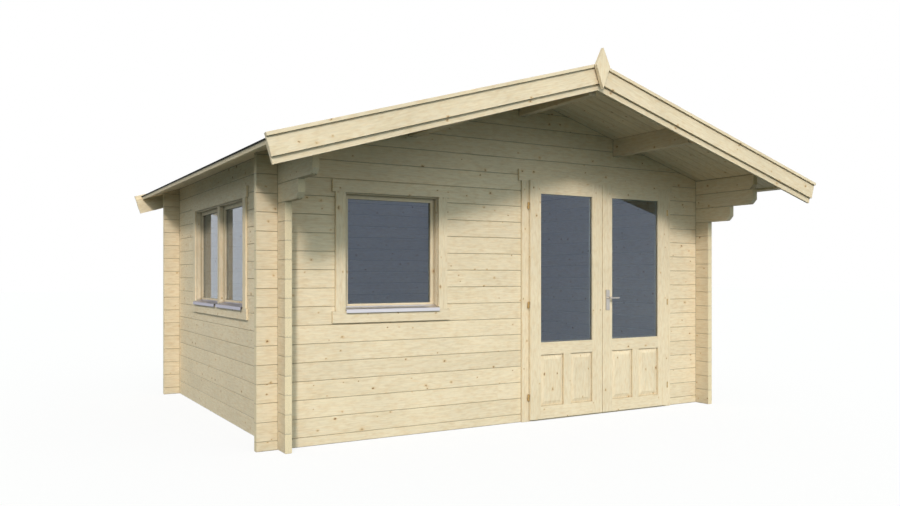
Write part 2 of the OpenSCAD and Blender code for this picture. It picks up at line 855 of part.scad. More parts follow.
// Levers on both sides, on one spindle
module door_levers() {
    out = lip_y0 - seat - plate_t - lever_out;
    in = leaf_y1 + seat + plate_t + lever_out;
    color(metal) translate([lever_x, 0, lever_z]) {
        translate([0, out, 0]) rotate([-90, 0, 0]) cylinder(d = spindle_d, h = in - out);
        for (y = [out, in]) translate([0, y, 0]) {
            rotate([0, 90, 0]) cylinder(d = lever_d, h = lever_l);
            sphere(d = lever_d);
            translate([lever_l, 0, 0]) sphere(d = lever_d);
        }
        for (y = [out, in - lever_out + 1])
            translate([0, y, 0]) rotate([-90, 0, 0]) cylinder(d = lever_d, h = lever_out - 1);
    }
}

front_wall();
gable(front_mid);  // front_gable
back_wall();
gable(back_mid);  // back_gable
left_wall();
right_wall();
purlin(0);  // ridge_purlin
purlin(-purlin_x);  // left_purlin
purlin(purlin_x);  // right_purlin
mirror([1, 0, 0]) roof_boards();  // left_roof_boards
roof_boards();  // right_roof_boards
roof_felt();
eaves_battens();
barge_boards(true);  // front_barge_boards
barge_backing(true);  // front_barge_backing
barge_capping(true);  // front_barge_capping
finial(true);  // front_finial
barge_boards(false);  // back_barge_boards
barge_backing(false);  // back_barge_backing
barge_capping(false);  // back_barge_capping
finial(false);  // back_finial
floor_joists();
floor_boards();
at_front_window() window_frame(front_window_w, 1);  // front_window_frame
at_front_window() window_sashes(front_window_w, 1);  // front_window_sash
at_front_window() window_glass(front_window_w, 1);  // front_window_glass
at_front_window() window_casing(front_window_w);  // front_window_casing
at_front_window() drip_rails(front_window_w, 1);  // front_window_drip_rail
at_left_window() window_frame(left_window_w, 2);  // left_window_frame
at_left_window() window_sashes(left_window_w, 2);  // left_window_sashes
at_left_window() window_glass(left_window_w, 2);  // left_window_glass
at_left_window() window_casing(left_window_w);  // left_window_casing
at_left_window() drip_rails(left_window_w, 2);  // left_window_drip_rails
door_frame();
door_threshold();
door_casing();
door_hinge_pins();
left_door_leaf();
color(spruce) left_panels();  // left_door_panels
color(pane) left_glass();  // left_door_glass
leaf_hinges();  // left_door_hinges
right_door_leaf();
color(spruce) hand(true) left_panels();  // right_door_panels
color(pane) hand(true) left_glass();  // right_door_glass
hand(true) leaf_hinges();  // right_door_hinges
door_handle_plates();
door_levers();
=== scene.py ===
"""Looks of a log cabin garden house: planed spruce, bitumen felt, float glass, aluminium and brass.

All sizes are in metres, in the frame of the solids: the front faces -Y and the ground is z = 0.
"""

import math

import bmesh
import bpy
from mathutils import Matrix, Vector


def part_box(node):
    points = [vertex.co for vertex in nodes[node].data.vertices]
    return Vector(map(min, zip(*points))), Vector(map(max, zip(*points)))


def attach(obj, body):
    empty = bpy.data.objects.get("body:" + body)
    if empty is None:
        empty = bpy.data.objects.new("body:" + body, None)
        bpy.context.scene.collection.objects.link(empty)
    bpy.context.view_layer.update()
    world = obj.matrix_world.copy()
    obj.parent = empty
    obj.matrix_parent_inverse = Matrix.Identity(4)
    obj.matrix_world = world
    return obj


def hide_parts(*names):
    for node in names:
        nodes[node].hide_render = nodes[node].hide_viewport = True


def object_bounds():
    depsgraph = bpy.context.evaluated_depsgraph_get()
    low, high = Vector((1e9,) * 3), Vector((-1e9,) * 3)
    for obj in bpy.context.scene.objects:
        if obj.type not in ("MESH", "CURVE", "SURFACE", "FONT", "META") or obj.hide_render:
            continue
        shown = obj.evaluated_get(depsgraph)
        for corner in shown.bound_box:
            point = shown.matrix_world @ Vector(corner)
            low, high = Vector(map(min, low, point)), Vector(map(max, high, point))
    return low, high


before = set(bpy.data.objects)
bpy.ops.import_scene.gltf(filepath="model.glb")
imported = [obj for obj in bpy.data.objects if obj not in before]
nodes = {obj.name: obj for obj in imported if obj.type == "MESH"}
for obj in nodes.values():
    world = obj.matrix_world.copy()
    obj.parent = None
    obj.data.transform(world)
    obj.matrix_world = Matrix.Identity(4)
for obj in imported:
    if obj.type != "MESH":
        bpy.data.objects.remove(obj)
cad_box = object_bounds()

# Sizes that the looks share with the solids
COURSE = 0.135
CORBEL_COURSES = 13
LOG_T = 0.05
SLOPE = math.radians(16.3)
BOARD_T = 0.019
FELT_T = 0.004
SEAT = 0.0003
STILE = 0.112
GROOVE = 0.007
CASING_W = 0.087
DOOR_HEAD_W = 0.098

DECK_BOARDS = 27
ROOF_BOARDS = 45

left_lo, left_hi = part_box("left_door_leaf")
right_lo, right_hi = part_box("right_door_leaf")
panel_lo, panel_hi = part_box("left_door_panels")
casing_lo, casing_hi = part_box("front_window_casing")
pane_lo, pane_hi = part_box("front_window_glass")
deck_lo, deck_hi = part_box("floor_boards")
roof_lo, roof_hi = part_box("right_roof_boards")

wall_x = deck_hi[0] + LOG_T
front_wall_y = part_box("front_wall")[0][1]
back_wall_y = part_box("back_wall")[1][1]
corbel_z = CORBEL_COURSES * COURSE
door_head_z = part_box("door_casing")[1][2] - DOOR_HEAD_W
deck_pitch = (deck_hi[1] - deck_lo[1]) / DECK_BOARDS
roof_pitch = (roof_hi[1] - roof_lo[1]) / ROOF_BOARDS
ridge_z = roof_hi[2] - BOARD_T / math.cos(SLOPE)
roof_s = (ridge_z - roof_lo[2]) / math.sin(SLOPE)


# Helpers

def linear(code):
    """sRGB hex colour as linear RGBA."""
    parts = [int(code[k:k + 2], 16) / 255 for k in (1, 3, 5)]
    return [c / 12.92 if c <= 0.04045 else ((c + 0.055) / 1.055) ** 2.4 for c in parts] + [1.0]


def add(tree, kind, links=None, **settings):
    """Adds a node, sets its properties, and links or sets the sockets in links by name or number.

    A Map Range node's sockets 1 to 4 are the range it reads and the range it gives. A Mix node's sockets are
    4 and 5 for vectors, 6 and 7 for colours.
    """
    made = tree.nodes.new(kind)
    for key, value in settings.items():
        setattr(made, key, value)
    for key, value in (links or {}).items():
        if isinstance(value, bpy.types.NodeSocket):
            tree.links.new(value, made.inputs[key])
        else:
            made.inputs[key].default_value = value
    return made


def new_material(name):
    """An empty node material and its tree."""
    material = bpy.data.materials.new(name)
    material.use_nodes = True
    material.node_tree.nodes.clear()
    return material, material.node_tree


def dress(material, *names):
    """Gives CAD nodes a material."""
    for name in names:
        for material_slot in nodes[name].material_slots:
            material_slot.material = material


def mesh_piece(name, verts, faces, material):
    """A new object at the origin from vertices and faces, with its normals outwards."""
    mesh = bpy.data.meshes.new(name)
    mesh.from_pydata(verts, [], faces)
    shape = bmesh.new()
    shape.from_mesh(mesh)
    bmesh.ops.recalc_face_normals(shape, faces=shape.faces)
    shape.to_mesh(mesh)
    shape.free()
    mesh.materials.append(material)
    piece = bpy.data.objects.new(name, mesh)
    bpy.context.collection.objects.link(piece)
    return piece


def loft_faces(rings, around):
    """Faces of a solid that runs through rings of points, with both ends capped."""
    faces = [(a * around + k, a * around + (k + 1) % around,
              (a + 1) * around + (k + 1) % around, (a + 1) * around + k)
             for a in range(rings - 1) for k in range(around)]
    return faces + [tuple(range(around)), tuple(range((rings - 1) * around, rings * around))]


# Materials

# turns that bring the grain to X
ALONG_X = (0.0, 0.0, 0.0)
ALONG_Y = (0.0, 0.0, -math.pi / 2)
ALONG_Z = (0.0, math.pi / 2, 0.0)
DOWN_RIGHT = (0.0, -SLOPE, 0.0)
DOWN_LEFT = (0.0, SLOPE, 0.0)

# colours of spruce, and the brown used for painted shade near other boards and in the log joints, which are
# partly dust
EARLY_WOOD = linear("#EEDEC1")
LATE_WOOD = linear("#DFC9A0")
WARM_WOOD = linear("#DDBF92")
KNOT_EYE = linear("#DDB982")
KNOT_WOOD = linear("#7A5230")
END_EARLY = linear("#EFE1C2")
END_LATE = linear("#E1CDA5")
SHADE_AND_DUST_BROWN = linear("#6B5A40")

# units of the wood's patterns per metre, along the grain and across it
RINGS = (0.3, 7.0, 7.0)
FIBRES = (14.0, 110.0, 110.0)
PATCHES = (16.0, 48.0, 48.0)
KNOT_CELLS = (8.5, 11.5, 0.0)
END_RINGS = (0.0, 52.0, 52.0)
# rings over the whole range of the ring pattern
RING_TURNS = 26.0
# how far one log's figure may lie from the next one's
FIGURE_JUMP = (9.0, 3.0, 3.0)
# share of the cells of the knot pattern that hold no knot
LEAST_LUCK = 0.79
# in units of the knot pattern: how far the outline wavers, and where a knot and its eye fade out
KNOT_WAVER = (0.16, 0.16, 0.0)
KNOT_FADE = (0.035, 0.095)
EYE_FADE = (0.07, 0.22)
# how much smaller than the pattern a knot is drawn, and how dark, from the least to the most
KNOT_SHRINK = (0.85, 2.2)
KNOT_DEPTH = (0.25, 1.0)
EYE_DEPTH = 0.6
# brightness of the log ends beside that of the walls
STUB_LEVEL = 0.89
# half width of the dark line between two logs
JOINT = 0.0035
# how far the painted shade reaches from another board, and in the deep corners of a sash
SHADE_REACH = 0.007
SASH_SHADE_REACH = 0.02


def in_range(tree, value, low, high):
    """1 where a value lies between low and high, else 0."""
    return add(tree, "ShaderNodeMath", {0: value, 1: (low + high) / 2, 2: (high - low) / 2},
               operation="COMPARE").outputs[0]


def spruce_knots(tree, wood):
    """Knots 5 to 18 mm across, about 20 to the square metre: (how dark the knot is, its golden eye)."""
    along, wide, deep = add(tree, "ShaderNodeSeparateXYZ", {0: wood}).outputs
    across = add(tree, "ShaderNodeMath", {0: wide, 1: deep}, operation="ADD").outputs[0]
    on_face = add(tree, "ShaderNodeCombineXYZ", {0: along, 1: across}).outputs[0]
    cells = add(tree, "ShaderNodeVectorMath", {0: on_face, 1: KNOT_CELLS}, operation="MULTIPLY").outputs[0]
    # the outline wavers over about 14 mm
    ragged = add(tree, "ShaderNodeTexNoise", {"Vector": wood, "Scale": 70.0, "Detail": 1.0}).outputs["Color"]
    cells = add(tree, "ShaderNodeVectorMath", {0: ragged, 1: KNOT_WAVER, 2: cells},
                operation="MULTIPLY_ADD").outputs[0]
    branches = add(tree, "ShaderNodeTexVoronoi", {"Vector": cells, "Scale": 1.0},
                   voronoi_dimensions="2D", feature="F1").outputs
    chance = add(tree, "ShaderNodeSeparateXYZ", {0: branches["Color"]}).outputs
    luck = chance["X"]
    girth = chance["Y"]
    none = add(tree, "ShaderNodeMath", {0: luck, 1: LEAST_LUCK}, operation="LESS_THAN").outputs[0]
    shrink = add(tree, "ShaderNodeMapRange", {0: girth, 3: KNOT_SHRINK[0], 4: KNOT_SHRINK[1]}).outputs[0]
    depth = add(tree, "ShaderNodeMapRange",
                {0: luck, 1: LEAST_LUCK, 2: 1.0, 3: KNOT_DEPTH[0], 4: KNOT_DEPTH[1]}).outputs[0]
    branch = add(tree, "ShaderNodeMath", {0: branches["Distance"], 1: shrink, 2: none},
                 operation="MULTIPLY_ADD").outputs[0]
    knot = add(tree, "ShaderNodeMapRange", {0: branch, 1: KNOT_FADE[0], 2: KNOT_FADE[1], 3: depth, 4: 0.0},
               interpolation_type="SMOOTHSTEP").outputs[0]
    eye = add(tree, "ShaderNodeMapRange", {0: branch, 1: EYE_FADE[0], 2: EYE_FADE[1], 3: EYE_DEPTH, 4: 0.0},
              interpolation_type="SMOOTHSTEP").outputs[0]
    return knot, eye


def spruce_ends(tree, wood, end_axis):
    """End grain with rings about 6 mm apart: (1 on the faces that show it, its colour)."""
    facing = add(tree, "ShaderNodeTexCoord").outputs["Normal"]
    face = add(tree, "ShaderNodeSeparateXYZ", {0: facing}).outputs[end_axis]
    size = add(tree, "ShaderNodeMath", {0: face}, operation="ABSOLUTE").outputs[0]
    is_end = add(tree, "ShaderNodeMath", {0: size, 1: 0.9}, operation="GREATER_THAN").outputs[0]
    spread = add(tree, "ShaderNodeVectorMath", {0: wood, 1: END_RINGS}, operation="MULTIPLY").outputs[0]
    rings = add(tree, "ShaderNodeTexWave",
                {"Vector": spread, "Scale": 1.0, "Distortion": 3.0, "Detail": 1.0, "Detail Scale": 0.3},
                wave_type="RINGS", rings_direction="X").outputs["Fac"]
    colour = add(tree, "ShaderNodeMix", {0: rings, 6: END_EARLY, 7: END_LATE}, data_type="RGBA").outputs[2]
    return is_end, colour


def planed_spruce(name, grain, other=None, where=None, but=None, strips=None, joint=0.0, end_axis=None,
                  stubs=None, pale=1.0, shade_reach=SHADE_REACH):
    """Planed, untreated spruce: pale cream wood, soft flat-sawn figure along the grain, small brown knots.

    grain turns the object's coordinates so that the grain runs along X; other is the grain inside the range
    where, (axis, low, high), but for the range but. strips is (axis, width, start): every log or board in it
    has its own figure. joint is the half width of the dark line between strips, and end_axis the axis that
    end grain faces. stubs is (axis, low, high, top): log ends that stand out of that range on the axis, up to
    the top, are a little darker, as in the photo. pale is the wood's brightness beside that of the wall logs,
    and shade_reach is how far the painted shade reaches from another board.
    """
    material, tree = new_material(name)
    place = add(tree, "ShaderNodeTexCoord").outputs["Object"]
    axes = add(tree, "ShaderNodeSeparateXYZ", {0: place}).outputs
    wood = add(tree, "ShaderNodeMapping", {"Vector": place, "Rotation": grain}).outputs[0]
    if other:
        axis, low, high = where
        inside = in_range(tree, axes[axis], low, high)
        if but:
            axis, low, high = but
            left_out = in_range(tree, axes[axis], low, high)
            inside = add(tree, "ShaderNodeMath", {0: inside, 1: left_out}, operation="SUBTRACT",
                         use_clamp=True).outputs[0]
        turned_wood = add(tree, "ShaderNodeMapping", {"Vector": place, "Rotation": other}).outputs[0]
        wood = add(tree, "ShaderNodeMix", {0: inside, 4: wood, 5: turned_wood},
                   data_type="VECTOR").outputs[1]
    tone = 0.5
    if strips:
        axis, width, start = strips
        count = add(tree, "ShaderNodeMath", {0: axes[axis], 1: 1 / width, 2: -start / width},
                    operation="MULTIPLY_ADD").outputs[0]
        number = add(tree, "ShaderNodeMath", {0: count}, operation="FLOOR").outputs[0]
        chance = add(tree, "ShaderNodeTexWhiteNoise", {"W": number}, noise_dimensions="1D").outputs
        jump = add(tree, "ShaderNodeVectorMath", {0: chance["Color"], 1: FIGURE_JUMP},
                   operation="MULTIPLY").outputs[0]
        wood = add(tree, "ShaderNodeVectorMath", {0: wood, 1: jump}, operation="ADD").outputs[0]
        tone = chance["Value"]

    # flat-sawn growth rings, drawn about 16 mm apart on the face because the true 4 mm is too fine to show
    broad = add(tree, "ShaderNodeVectorMath", {0: wood, 1: RINGS}, operation="MULTIPLY").outputs[0]
    growth = add(tree, "ShaderNodeTexNoise",
                 {"Vector": broad, "Scale": 1.0, "Detail": 1.5, "Roughness": 0.4}).outputs["Fac"]
    turns = add(tree, "ShaderNodeMath", {0: growth, 1: RING_TURNS}, operation="MULTIPLY").outputs[0]
    ring = add(tree, "ShaderNodeMath", {0: turns}, operation="FRACT").outputs[0]
    late = add(tree, "ShaderNodeMapRange", {0: ring, 1: 0.2, 2: 1.0, 3: 0.0, 4: 0.28},
               interpolation_type="SMOOTHSTEP").outputs[0]
    colour = add(tree, "ShaderNodeMix", {0: late, 6: EARLY_WOOD, 7: LATE_WOOD}, data_type="RGBA").outputs[2]
    # warm patches of about 60 by 20 mm
    spread = add(tree, "ShaderNodeVectorMath", {0: wood, 1: PATCHES}, operation="MULTIPLY").outputs[0]
    patch = add(tree, "ShaderNodeTexNoise", {"Vector": spread, "Scale": 1.0, "Detail": 2.0}).outputs["Fac"]
    warm = add(tree, "ShaderNodeMapRange", {0: patch, 1: 0.45, 2: 0.75, 3: 0.0, 4: 0.45}).outputs[0]
    colour = add(tree, "ShaderNodeMix", {0: warm, 6: colour, 7: WARM_WOOD}, data_type="RGBA").outputs[2]
    knot, eye = spruce_knots(tree, wood)
    colour = add(tree, "ShaderNodeMix", {0: eye, 6: colour, 7: KNOT_EYE}, data_type="RGBA").outputs[2]
    if stubs:
        axis, low, high, top = stubs
        in_wall = in_range(tree, axes[axis], low, high)
        over = add(tree, "ShaderNodeMath", {0: axes["Z"], 1: top}, operation="GREATER_THAN").outputs[0]
        spared = add(tree, "ShaderNodeMath", {0: in_wall, 1: over}, operation="MAXIMUM").outputs[0]
        dim = add(tree, "ShaderNodeMapRange", {0: spared, 3: STUB_LEVEL, 4: 1.0}).outputs[0]
        colour = add(tree, "ShaderNodeVectorMath", {0: colour, "Scale": dim}, operation="SCALE").outputs[0]
    colour = add(tree, "ShaderNodeMix", {0: knot, 6: colour, 7: KNOT_WOOD}, data_type="RGBA").outputs[2]
    if end_axis:
        is_end, ends = spruce_ends(tree, wood, end_axis)
        colour = add(tree, "ShaderNodeMix", {0: is_end, 6: colour, 7: ends}, data_type="RGBA").outputs[2]

    # streaks of fibre, drawn about 9 mm wide and 70 mm long because single fibres are too fine to show
    thin = add(tree, "ShaderNodeVectorMath", {0: wood, 1: FIBRES}, operation="MULTIPLY").outputs[0]
    fibre = add(tree, "ShaderNodeTexNoise",
                {"Vector": thin, "Scale": 1.0, "Detail": 3.0, "Roughness": 0.6}).outputs["Fac"]
    mottle = add(tree, "ShaderNodeMath", {0: fibre, 1: 0.3, 2: 0.76}, operation="MULTIPLY_ADD").outputs[0]
    # slow change of tone over about half a metre
    cloud = add(tree, "ShaderNodeTexNoise", {"Vector": wood, "Scale": 2.2, "Detail": 1.0}).outputs["Fac"]
    mottle = add(tree, "ShaderNodeMath", {0: cloud, 1: 0.18, 2: mottle}, operation="MULTIPLY_ADD").outputs[0]
    shade = add(tree, "ShaderNodeMath", {0: tone, 1: 0.05 * pale, 2: 0.975 * pale},
                operation="MULTIPLY_ADD").outputs[0]
    level = add(tree, "ShaderNodeMath", {0: mottle, 1: shade}, operation="MULTIPLY").outputs[0]
    colour = add(tree, "ShaderNodeVectorMath", {0: colour, "Scale": level}, operation="SCALE").outputs[0]

    # painted shade: the wood turns brown where another board is within reach, as ambient occlusion; the dark
    # line in the joints between logs, partly dust and partly painted shade in the gap, uses the same brown
    corner = add(tree, "ShaderNodeAmbientOcclusion", {"Distance": shade_reach}, samples=6).outputs["AO"]
    shade_and_dust = add(tree, "ShaderNodeMapRange", {0: corner, 1: 0.35, 2: 0.95, 3: 0.75, 4: 0.0}).outputs[0]
    if joint:
        half = joint / width
        edge = add(tree, "ShaderNodeMath", {0: count, 1: 0.5}, operation="PINGPONG").outputs[0]
        line = add(tree, "ShaderNodeMapRange", {0: edge, 1: 0.25 * half, 2: half, 3: 0.4, 4: 0.0},
                   interpolation_type="SMOOTHSTEP").outputs[0]
        shade_and_dust = add(tree, "ShaderNodeMath", {0: shade_and_dust, 1: line}, operation="MAXIMUM").outputs[0]
    colour = add(tree, "ShaderNodeMix", {0: shade_and_dust, 6: colour, 7: SHADE_AND_DUST_BROWN}, data_type="RGBA").outputs[2]
    relief = add(tree, "ShaderNodeMath", {0: fibre, 1: 0.4, 2: late}, operation="MULTIPLY_ADD").outputs[0]
    bump = add(tree, "ShaderNodeBump", {"Strength": 0.15, "Distance": 0.0006, "Height": relief}).outputs[0]
    surface = add(tree, "ShaderNodeBsdfPrincipled",
                  {"Base Color": colour, "Roughness": 0.62, "Specular IOR Level": 0.35, "Normal": bump})
    add(tree, "ShaderNodeOutputMaterial", {0: surface.outputs[0]})
    return material


def bitumen_felt():
    """Bitumen felt with a fine mineral surface: near black, dull, slightly uneven."""
    material, tree = new_material("bitumen felt")
    place = add(tree, "ShaderNodeTexCoord").outputs["Object"]
    # slate granules, drawn 7 mm across because the true 1 mm is too fine to show
    grit = add(tree, "ShaderNodeTexNoise", {"Vector": place, "Scale": 140.0, "Detail": 2.0}).outputs["Fac"]
    # slow change of tone over about half a metre
    cloud = add(tree, "ShaderNodeTexNoise", {"Vector": place, "Scale": 2.2, "Detail": 3.0}).outputs["Fac"]
    both = add(tree, "ShaderNodeMath", {0: grit, 1: cloud}, operation="MULTIPLY").outputs[0]
    colour = add(tree, "ShaderNodeMix", {0: both, 6: linear("#101011"), 7: linear("#3A3A3B")},
                 data_type="RGBA").outputs[2]
    bump = add(tree, "ShaderNodeBump", {"Strength": 0.5, "Distance": 0.002, "Height": grit}).outputs[0]
    surface = add(tree, "ShaderNodeBsdfPrincipled",
                  {"Base Color": colour, "Roughness": 0.95, "Specular IOR Level": 0.15, "Normal": bump})
    add(tree, "ShaderNodeOutputMaterial", {0: surface.outputs[0]})
    return material


def float_glass():
    """Clear float glass: smooth, faintly blue-grey, sees into the dim room and mirrors the studio.

    The index is raised from the usual 1.52, so that the panes mirror as much as they do in the photo.
    """
    material, tree = new_material("float glass")
    place = add(tree, "ShaderNodeTexCoord").outputs["Object"]
    # the sheet is flat to a few hundredths of a millimetre over 0.4 m
    wave = add(tree, "ShaderNodeTexNoise", {"Vector": place, "Scale": 2.5, "Detail": 1.0}).outputs["Fac"]
    bump = add(tree, "ShaderNodeBump", {"Strength": 0.02, "Distance": 0.001, "Height": wave}).outputs[0]
    surface = add(tree, "ShaderNodeBsdfPrincipled",
                  {"Base Color": linear("#CFE0EE"), "Roughness": 0.0, "IOR": 1.68, "Transmission Weight": 1.0,
                   "Specular Tint": linear("#D6E2FF"), "Normal": bump})
    add(tree, "ShaderNodeOutputMaterial", {0: surface.outputs[0]})
    return material


def bare_metal(name, dark, light, roughness, stretch):
    """Bare metal with fine rolling or brushing lines; stretch gives the lines per metre on each axis."""
    material, tree = new_material(name)
    place = add(tree, "ShaderNodeTexCoord").outputs["Object"]
    lines = add(tree, "ShaderNodeVectorMath", {0: place, 1: stretch}, operation="MULTIPLY").outputs[0]
    brush = add(tree, "ShaderNodeTexNoise", {"Vector": lines, "Scale": 1.0, "Detail": 3.0}).outputs["Fac"]
    colour = add(tree, "ShaderNodeMix", {0: brush, 6: linear(dark), 7: linear(light)},
                 data_type="RGBA").outputs[2]
    gloss = add(tree, "ShaderNodeMath", {0: brush, 1: 0.2, 2: roughness - 0.1},
                operation="MULTIPLY_ADD").outputs[0]
    surface = add(tree, "ShaderNodeBsdfPrincipled",
                  {"Base Color": colour, "Metallic": 1.0, "Roughness": gloss})
    add(tree, "ShaderNodeOutputMaterial", {0: surface.outputs[0]})
    return material


felt = bitumen_felt()
glass = float_glass()
# painted shade and painted reflection: the one aluminium is drawn light on the front window's drip rail,
# which is in the light, and darker and bluer on the left window's rails, for their shade and a painted
# reflection of the sky
rail_lit_front = bare_metal("mill finish aluminium, front, lit", "#D0CFD5", "#EAE9ED", 0.4, (6.0, 300.0, 300.0))
rail_shaded_left = bare_metal("mill finish aluminium, left, painted shade and sky", "#9C9CA9", "#BBBBC7", 0.5, (300.0, 6.0, 300.0))
satin = bare_metal("satin aluminium", "#B2AEA8", "#CFCBC6", 0.34, (40.0, 400.0, 400.0))
clouts = bare_metal("aluminium clout nails", "#8F9193", "#B9BBBD", 0.45, (200.0, 200.0, 200.0))
brass = bare_metal("brass plated steel", "#A98A55", "#CDB07A", 0.4, (300.0, 300.0, 30.0))

# strips as (axis, width, start), ranges as (axis, low, high) and log ends as (axis, low, high, top), with the
# axes 0 to 2 for X to Z
cross_strips = (2, COURSE, -COURSE / 2)
side_strips = (2, COURSE, 0.0)
beam_strips = (0, 0.5, -0.25)
roof_strips = (1, roof_pitch, roof_lo[1])
deck_strips = (1, deck_pitch, deck_lo[1])
panel_strips = (0, 0.4, 0.05)
right_half = (0, 0.0, 9.0)
casing_posts = (2, casing_lo[2] + CASING_W, casing_hi[2] - CASING_W)
sash_posts = (2, pane_lo[2] + GROOVE, pane_hi[2] - GROOVE)
door_posts = (2, -1.0, door_head_z)
left_rails = (0, left_lo[0] + STILE, left_hi[0] - STILE)
right_rails = (0, right_lo[0] + STILE, right_hi[0] - STILE)
muntin = (2, panel_lo[2] + GROOVE, panel_hi[2] - GROOVE)
cross_stubs = (0, -wall_x, wall_x, cad_box[1][2])
side_stubs = (1, front_wall_y, back_wall_y, corbel_z)

cross_logs = planed_spruce("spruce logs, front and back", ALONG_X, strips=cross_strips, joint=JOINT,
                           end_axis="X", stubs=cross_stubs)
side_logs = planed_spruce("spruce logs, sides", ALONG_Y, strips=side_strips, joint=JOINT,
                          end_axis="Y", stubs=side_stubs)
# painted shade: the purlins stand in the shade under the roof and are drawn with wood darker than that of the
# walls
beams = planed_spruce("spruce beams", ALONG_Y, strips=beam_strips, pale=0.78)
battens = planed_spruce("spruce battens", ALONG_Y, strips=beam_strips)
barges = planed_spruce("spruce barge boards", DOWN_LEFT, DOWN_RIGHT, right_half, pale=0.94)
soffit_left = planed_spruce("spruce roof boards, left", DOWN_LEFT, strips=roof_strips, pale=0.94)
soffit_right = planed_spruce("spruce roof boards, right", DOWN_RIGHT, strips=roof_strips, pale=0.94)
deck = planed_spruce("spruce floor boards", ALONG_X, strips=deck_strips)
upright = planed_spruce("spruce uprights", ALONG_Z)
flat_x = planed_spruce("spruce level boards", ALONG_X)
front_trim = planed_spruce("spruce casing, front window", ALONG_X, ALONG_Z, casing_posts)
left_trim = planed_spruce("spruce casing, left window", ALONG_Y, ALONG_Z, casing_posts)
front_sash = planed_spruce("spruce sash, front window", ALONG_X, ALONG_Z, sash_posts, pale=0.9,
                           shade_reach=SASH_SHADE_REACH)
left_sash = planed_spruce("spruce sashes, left window", ALONG_Y, ALONG_Z, sash_posts, pale=0.84,
                          shade_reach=SASH_SHADE_REACH)
door_trim = planed_spruce("spruce casing, door", ALONG_X, ALONG_Z, door_posts)
left_leaf = planed_spruce("spruce leaf, left", ALONG_Z, ALONG_X, left_rails, but=muntin)
right_leaf = planed_spruce("spruce leaf, right", ALONG_Z, ALONG_X, right_rails, but=muntin)
panels = planed_spruce("spruce door panels", ALONG_Z, strips=panel_strips)

dress(cross_logs, "front_wall", "front_gable", "back_wall", "back_gable")
dress(side_logs, "left_wall", "right_wall")
dress(beams, "ridge_purlin", "left_purlin", "right_purlin")
dress(battens, "eaves_battens", "floor_joists")
dress(barges, "front_barge_boards", "front_barge_backing", "front_barge_capping",
      "back_barge_boards", "back_barge_backing", "back_barge_capping")
dress(upright, "front_finial", "back_finial")
dress(front_trim, "front_window_casing")
dress(front_sash, "front_window_frame", "front_window_sash")
dress(left_trim, "left_window_casing")
dress(left_sash, "left_window_frame", "left_window_sashes")
dress(door_trim, "door_casing", "door_frame")
dress(flat_x, "door_threshold")
dress(left_leaf, "left_door_leaf")
dress(right_leaf, "right_door_leaf")
dress(panels, "left_door_panels", "right_door_panels")
dress(glass, "front_window_glass", "left_window_glass", "left_door_glass", "right_door_glass")
dress(rail_lit_front, "front_window_drip_rail")
dress(rail_shaded_left, "left_window_drip_rails")
dress(satin, "door_handle_plates", "door_levers")
dress(brass, "door_hinge_pins", "left_door_hinges", "right_door_hinges")


# Boards, nails and screws in rows

def pieces_in_rows():
    """Geometry nodes: repeats one piece in a row, from a start and by a step."""
    tree = bpy.data.node_groups.new("pieces in rows", "GeometryNodeTree")
    inputs = {"Piece": "NodeSocketGeometry", "Count": "NodeSocketInt", "Start": "NodeSocketVector",
              "Step": "NodeSocketVector", "Finish": "NodeSocketMaterial"}
    sockets = {name: tree.interface.new_socket(name, in_out="INPUT", socket_type=kind).identifier
               for name, kind in inputs.items()}
    tree.interface.new_socket("Row", in_out="OUTPUT", socket_type="NodeSocketGeometry")
    given = add(tree, "NodeGroupInput").outputs
    row = add(tree, "GeometryNodeMeshLine",
              {"Count": given["Count"], "Start Location": given["Start"], "Offset": given["Step"]},
              mode="OFFSET").outputs[0]
    laid = add(tree, "GeometryNodeInstanceOnPoints", {"Points": row, "Instance": given["Piece"]}).outputs[0]
    solid = add(tree, "GeometryNodeRealizeInstances", {0: laid}).outputs[0]
    done = add(tree, "GeometryNodeSetMaterial", {"Geometry": solid, "Material": given["Finish"]}).outputs[0]
    add(tree, "NodeGroupOutput", {0: done})
    return tree, sockets


row_tree, row_sockets = pieces_in_rows()


def lay_row(piece, count, start, step, finish):
    """Repeats a piece's mesh in a row and keeps the result as its plain mesh."""
    row = piece.modifiers.new("row", "NODES")
    row.node_group = row_tree
    row[row_sockets["Count"]] = count
    row[row_sockets["Start"]] = start
    row[row_sockets["Step"]] = step
    row[row_sockets["Finish"]] = finish
    shown = piece.evaluated_get(bpy.context.evaluated_depsgraph_get())
    result = bpy.data.meshes.new_from_object(shown)
    piece.modifiers.clear()
    piece.data = result


def on_slope(side, s, n):
    """Point of the left (-1) or right (1) slope, s down it and n over the underside of the boards: (x, z)."""
    x = side * (s * math.cos(SLOPE) + n * math.sin(SLOPE))
    z = ridge_z - s * math.sin(SLOPE) + n * math.cos(SLOPE)
    return x, z


def roof_slope(side, material, node):
    """Matchboards down a slope, with V joints that show below."""
    gap = 0.0003
    v = 0.005
    far = roof_pitch - gap
    section = [(gap, v), (v, 0.0), (roof_pitch - v, 0.0), (far, v), (far, BOARD_T), (gap, BOARD_T)]
    verts = []
    for top in (True, False):
        for y, n in section:
            s = (SEAT - n * math.sin(SLOPE)) / math.cos(SLOPE) if top else roof_s
            x, z = on_slope(side, s, n)
            verts.append((x, y, z))
    board = mesh_piece(node.replace("boards", "matchboards"), verts, loft_faces(2, len(section)), material)
    lay_row(board, ROOF_BOARDS, (0.0, roof_lo[1], 0.0), (0.0, roof_pitch, 0.0), material)
    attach(board, "house")
    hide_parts(node)


